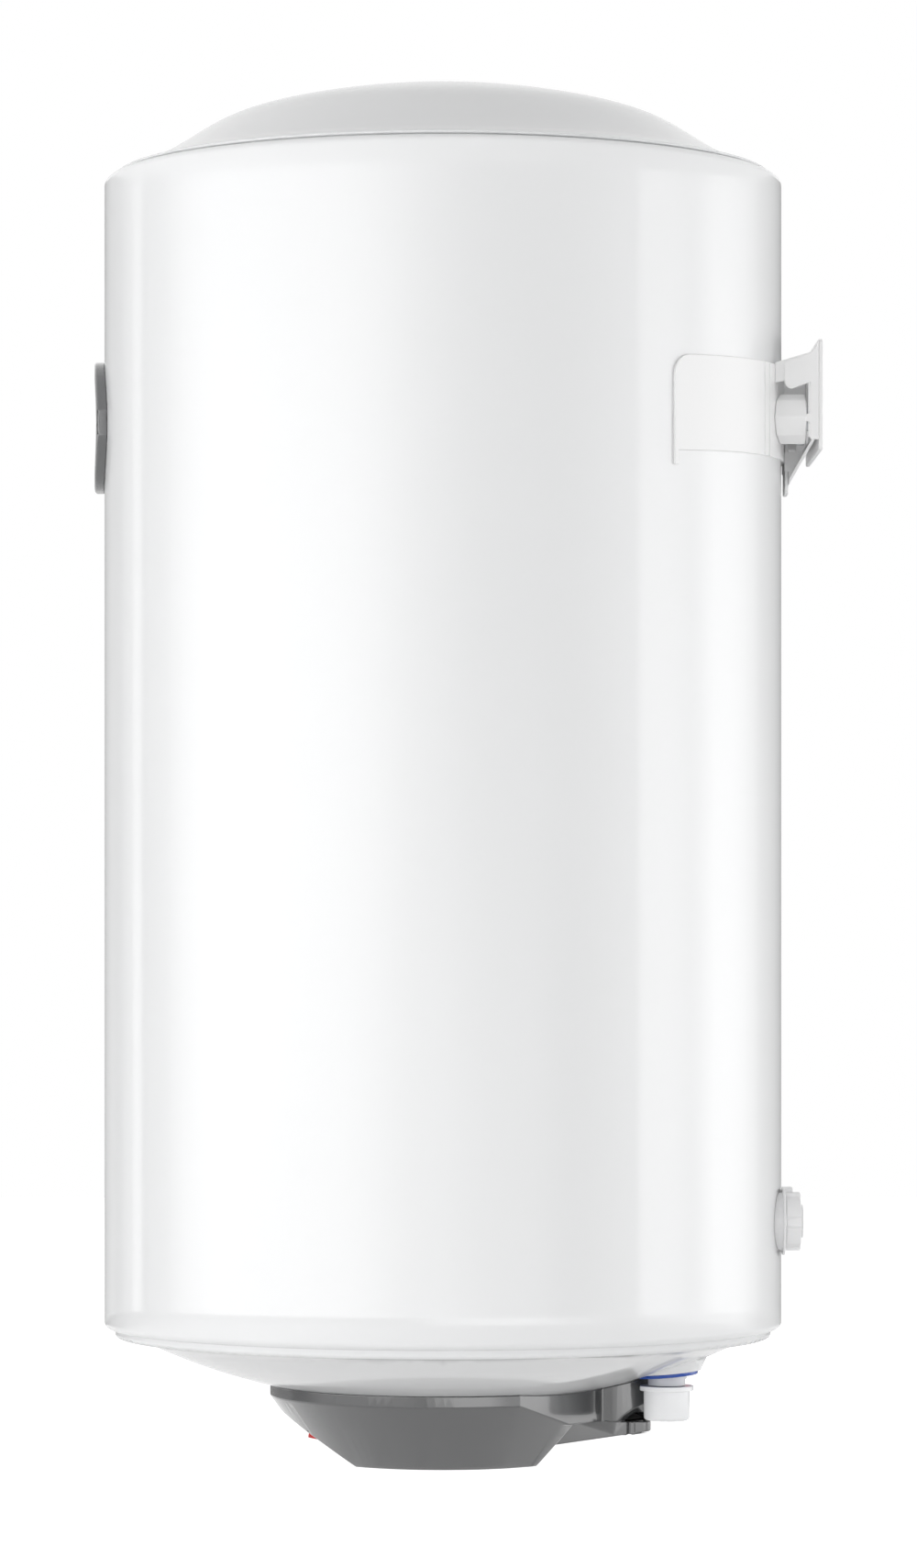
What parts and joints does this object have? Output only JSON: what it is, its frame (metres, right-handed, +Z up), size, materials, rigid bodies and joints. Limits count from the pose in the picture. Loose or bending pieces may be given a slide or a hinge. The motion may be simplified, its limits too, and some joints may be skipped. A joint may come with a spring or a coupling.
{
  "type": "storage water heater",
  "caption": "Upright wall-hung electric storage water heater with a round drum, a front thermometer, a grey underside cover with a rocker switch, capped pipes and a hook-on bracket.",
  "frame": {"origin": "On the wall, midway between the two hanging slots of the bracket's plate, at the height of their centre line.", "axes": "+Z up along the drum, +Y towards the wall that the heater hangs on, -Y the front with the thermometer and the switch, +X the viewer's right when facing the front (the cold inlet's side)."},
  "size_m": [0.45, 0.48, 0.91],
  "materials": {
    "jacket_enamel": "gloss",
    "cap_plastic": "gloss",
    "tank_enamel": "gloss",
    "foam": "matte",
    "gasket_rubber": "matte",
    "zinc_steel": "satin",
    "copper_tube": "satin",
    "brass": "satin",
    "black_plastic": "satin",
    "red_plastic": "gloss",
    "anode_metal": "matte",
    "pipe_steel": "satin",
    "bush_plastic": "satin",
    "blue_plastic": "gloss",
    "pale_plastic": "gloss",
    "grey_plastic": "satin",
    "wire_brown": "satin",
    "wire_blue": "satin",
    "wire_green": "satin",
    "badge_plastic": "gloss",
    "dial_face": "satin",
    "needle_red": "satin",
    "clear_lens": "clear",
    "bracket_paint": "gloss",
    "spacer_plastic": "satin",
    "pad_plastic": "satin"
  },
  "bodies": {
    "heater": {"outer_jacket": "jacket_enamel", "top_cap": "cap_plastic", "bottom_cap": "cap_plastic", "tank_shell": "tank_enamel", "insulation_foam": "foam", "tank_lugs": "tank_enamel", "flange_collar": "tank_enamel", "flange_gasket": "gasket_rubber", "flange_plate": "zinc_steel", "flange_nuts": "zinc_steel", "cover_standoffs": "zinc_steel", "heating_element": "copper_tube", "thermostat_pocket": "brass", "thermostat": "black_plastic", "anode_rod": "anode_metal", "anode_nut": "zinc_steel", "earth_stud": "brass", "cold_inlet_pipe": "pipe_steel", "hot_outlet_pipe": "pipe_steel", "cold_bush": "bush_plastic", "hot_bush": "bush_plastic", "cold_ring": "blue_plastic", "hot_ring": "red_plastic", "inlet_diffuser": "pale_plastic", "terminal_cover": "grey_plastic", "cover_screws": "zinc_steel", "switch_body": "black_plastic", "cable_gland": "black_plastic", "gland_nut": "black_plastic", "terminal_block": "pale_plastic", "wire_live": "wire_brown", "wire_neutral": "wire_blue", "wire_element": "wire_brown", "wire_earth": "wire_green", "wire_switch": "wire_brown", "thermometer_bezel": "badge_plastic", "thermometer_dial": "dial_face", "thermometer_lens": "clear_lens", "thermometer_stem": "brass", "wall_bracket": "bracket_paint", "bracket_cheeks": "bracket_paint", "wall_plate": "bracket_paint", "bracket_brace": "bracket_paint", "bracket_tongue": "bracket_paint", "bracket_bosses": "bracket_paint", "bracket_bolts": "zinc_steel", "spacer_base_left": "spacer_plastic", "spacer_base_right": "spacer_plastic"},
    "rocker": {"switch_rocker": "red_plastic"},
    "needle": {"thermometer_needle": "needle_red"},
    "spindle": {"thermostat_spindle": "brass"},
    "reset": {"reset_button": "red_plastic"},
    "cold_cap": {"cold_pipe_cap": "pale_plastic"},
    "hot_cap": {"hot_pipe_cap": "pale_plastic"},
    "pad_left": {"spacer_pad_left": "pad_plastic"},
    "pad_right": {"spacer_pad_right": "pad_plastic"},
    "knob_left": {"spacer_knob_left": "spacer_plastic"},
    "knob_right": {"spacer_knob_right": "spacer_plastic"}
  },
  "joints": [
    {"name": "rocker_tilt", "type": "hinge", "parent": "heater", "child": "rocker", "pos_m": [0, -0.33017, -0.711], "axis": [1, 0, 0], "range_deg": [-24, 0]},
    {"name": "needle_turn", "type": "hinge", "parent": "heater", "child": "needle", "pos_m": [0, -0.4749, -0.04], "axis": [0, 1, 0], "range_deg": [0, 250]},
    {"name": "spindle_turn", "type": "hinge", "parent": "heater", "child": "spindle", "pos_m": [0, -0.2705, -0.71], "axis": [0, 0, 1], "range_deg": [0, 270]},
    {"name": "reset_press", "type": "slide", "parent": "heater", "child": "reset", "axis": [0, 0, 1], "range_m": [0, 0.0015], "stiffness_N_per_m": 400},
    {"name": "cold_cap_pull", "type": "slide", "parent": "heater", "child": "cold_cap", "axis": [0, 0, -1], "range_m": [0, 0.02]},
    {"name": "hot_cap_pull", "type": "slide", "parent": "heater", "child": "hot_cap", "axis": [0, 0, -1], "range_m": [0, 0.02]},
    {"name": "spacer_left_travel", "type": "slide", "parent": "heater", "child": "pad_left", "axis": [0, 1, 0], "range_m": [0, 0.0115]},
    {"name": "spacer_right_travel", "type": "slide", "parent": "heater", "child": "pad_right", "axis": [0, 1, 0], "range_m": [0, 0.0115]},
    {"name": "spacer_left_turn", "type": "hinge", "parent": "heater", "child": "knob_left", "pos_m": [-0.04, -0.02, -0.566], "axis": [0, 1, 0], "range_deg": [0, 414]},
    {"name": "spacer_right_turn", "type": "hinge", "parent": "heater", "child": "knob_right", "pos_m": [0.04, -0.02, -0.566], "axis": [0, 1, 0], "range_deg": [0, 414]}
  ],
  "couplings": [
    {"joint": "spacer_left_turn", "follows": "spacer_left_travel", "rad_per_m": 628.32},
    {"joint": "spacer_right_turn", "follows": "spacer_right_travel", "rad_per_m": 628.32}
  ]
}
